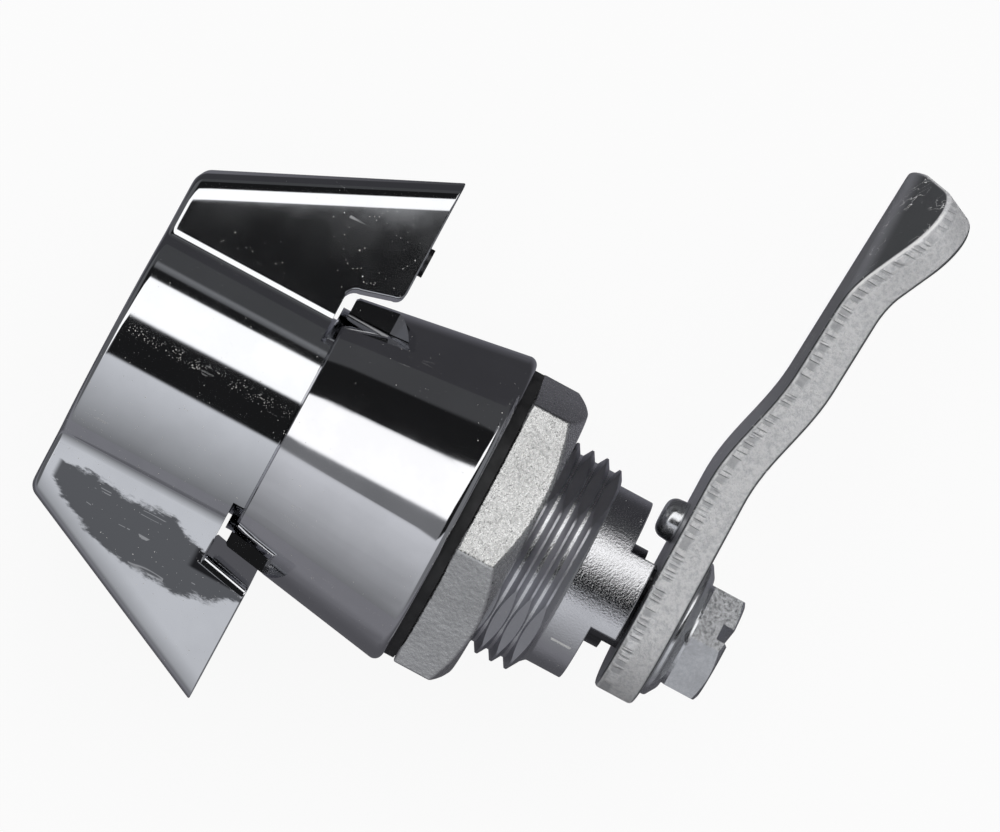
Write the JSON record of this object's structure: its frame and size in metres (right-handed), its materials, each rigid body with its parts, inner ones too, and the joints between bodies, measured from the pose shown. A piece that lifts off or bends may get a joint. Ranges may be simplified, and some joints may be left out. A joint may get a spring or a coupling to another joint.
{
  "type": "locking wing handle",
  "caption": "Locking wing handle with a key lock in its hub, a threaded barrel with a panel nut, and a cranked cam lever.",
  "frame": {"origin": "on the lock's axis, in the plane where the gasket meets the front of the panel", "axes": "+Y along the axis into the cabinet, so the handle faces -Y; wings along X and the cam lever to -X; +Z towards the picture's camera"},
  "size_m": [0.0737, 0.0639, 0.031],
  "materials": {
    "chromed_zinc": "polished chrome on a zinc die casting",
    "zinc_plated_steel": "zinc plated steel, sheared edges left rough",
    "galvanised_nut": "matt galvanised steel",
    "black_rubber": "matt black rubber",
    "lock_steel": "plain steel, ground",
    "plug_zinc": "chromed zinc plug",
    "wafer_brass": "stamped brass"
  },
  "bodies": {
    "housing": {"housing": "chromed_zinc", "panel_gasket": "black_rubber", "fixing_nut": "galvanised_nut"},
    "handle": {"wing_handle": "chromed_zinc", "stem_seal": "black_rubber", "cam_lever": "zinc_plated_steel", "stop_stud": "zinc_plated_steel", "cam_washer": "zinc_plated_steel", "cam_bolt": "zinc_plated_steel"},
    "plug": {"lock_plug": "plug_zinc", "plug_snap_ring": "lock_steel", "wafer_spring_1": "lock_steel", "wafer_spring_2": "lock_steel", "wafer_spring_3": "lock_steel", "wafer_spring_4": "lock_steel", "wafer_spring_5": "lock_steel"},
    "lock_bolt": {"lock_bolt": "lock_steel"},
    "wafer_1": {"wafer_1": "wafer_brass"},
    "wafer_2": {"wafer_2": "wafer_brass"},
    "wafer_3": {"wafer_3": "wafer_brass"},
    "wafer_4": {"wafer_4": "wafer_brass"},
    "wafer_5": {"wafer_5": "wafer_brass"}
  },
  "joints": [
    {"name": "handle_turn", "type": "hinge", "parent": "housing", "child": "handle", "pos_m": [0, 0, 0], "axis": [0, 1, 0], "range_deg": [-51, 39]},
    {"name": "plug_turn", "type": "hinge", "parent": "handle", "child": "plug", "pos_m": [0, 0, 0], "axis": [0, 1, 0], "range_deg": [0, 90]},
    {"name": "lock_bolt_slide", "type": "slide", "parent": "handle", "child": "lock_bolt", "axis": [0, 0, -1], "range_m": [0, 0.0016]},
    {"name": "wafer_1_slide", "type": "slide", "parent": "plug", "child": "wafer_1", "axis": [0, 0, 1], "range_m": [0, 0.0008], "stiffness_N_per_m": 60, "springref_m": 0.0016, "deforming": ["wafer_spring_1"]},
    {"name": "wafer_2_slide", "type": "slide", "parent": "plug", "child": "wafer_2", "axis": [0, 0, 1], "range_m": [0, 0.0008], "stiffness_N_per_m": 60, "springref_m": 0.0016, "deforming": ["wafer_spring_2"]},
    {"name": "wafer_3_slide", "type": "slide", "parent": "plug", "child": "wafer_3", "axis": [0, 0, 1], "range_m": [0, 0.0008], "stiffness_N_per_m": 60, "springref_m": 0.0016, "deforming": ["wafer_spring_3"]},
    {"name": "wafer_4_slide", "type": "slide", "parent": "plug", "child": "wafer_4", "axis": [0, 0, 1], "range_m": [0, 0.0008], "stiffness_N_per_m": 60, "springref_m": 0.0016, "deforming": ["wafer_spring_4"]},
    {"name": "wafer_5_slide", "type": "slide", "parent": "plug", "child": "wafer_5", "axis": [0, 0, 1], "range_m": [0, 0.0008], "stiffness_N_per_m": 60, "springref_m": 0.0016, "deforming": ["wafer_spring_5"]}
  ],
  "couplings": [
    {"joint": "plug_turn", "follows": "lock_bolt_slide", "rad_per_m": 981.5},
    {"joint": "wafer_2_slide", "follows": "wafer_1_slide", "ratio": 1},
    {"joint": "wafer_3_slide", "follows": "wafer_1_slide", "ratio": 1},
    {"joint": "wafer_4_slide", "follows": "wafer_1_slide", "ratio": 1},
    {"joint": "wafer_5_slide", "follows": "wafer_1_slide", "ratio": 1}
  ]
}
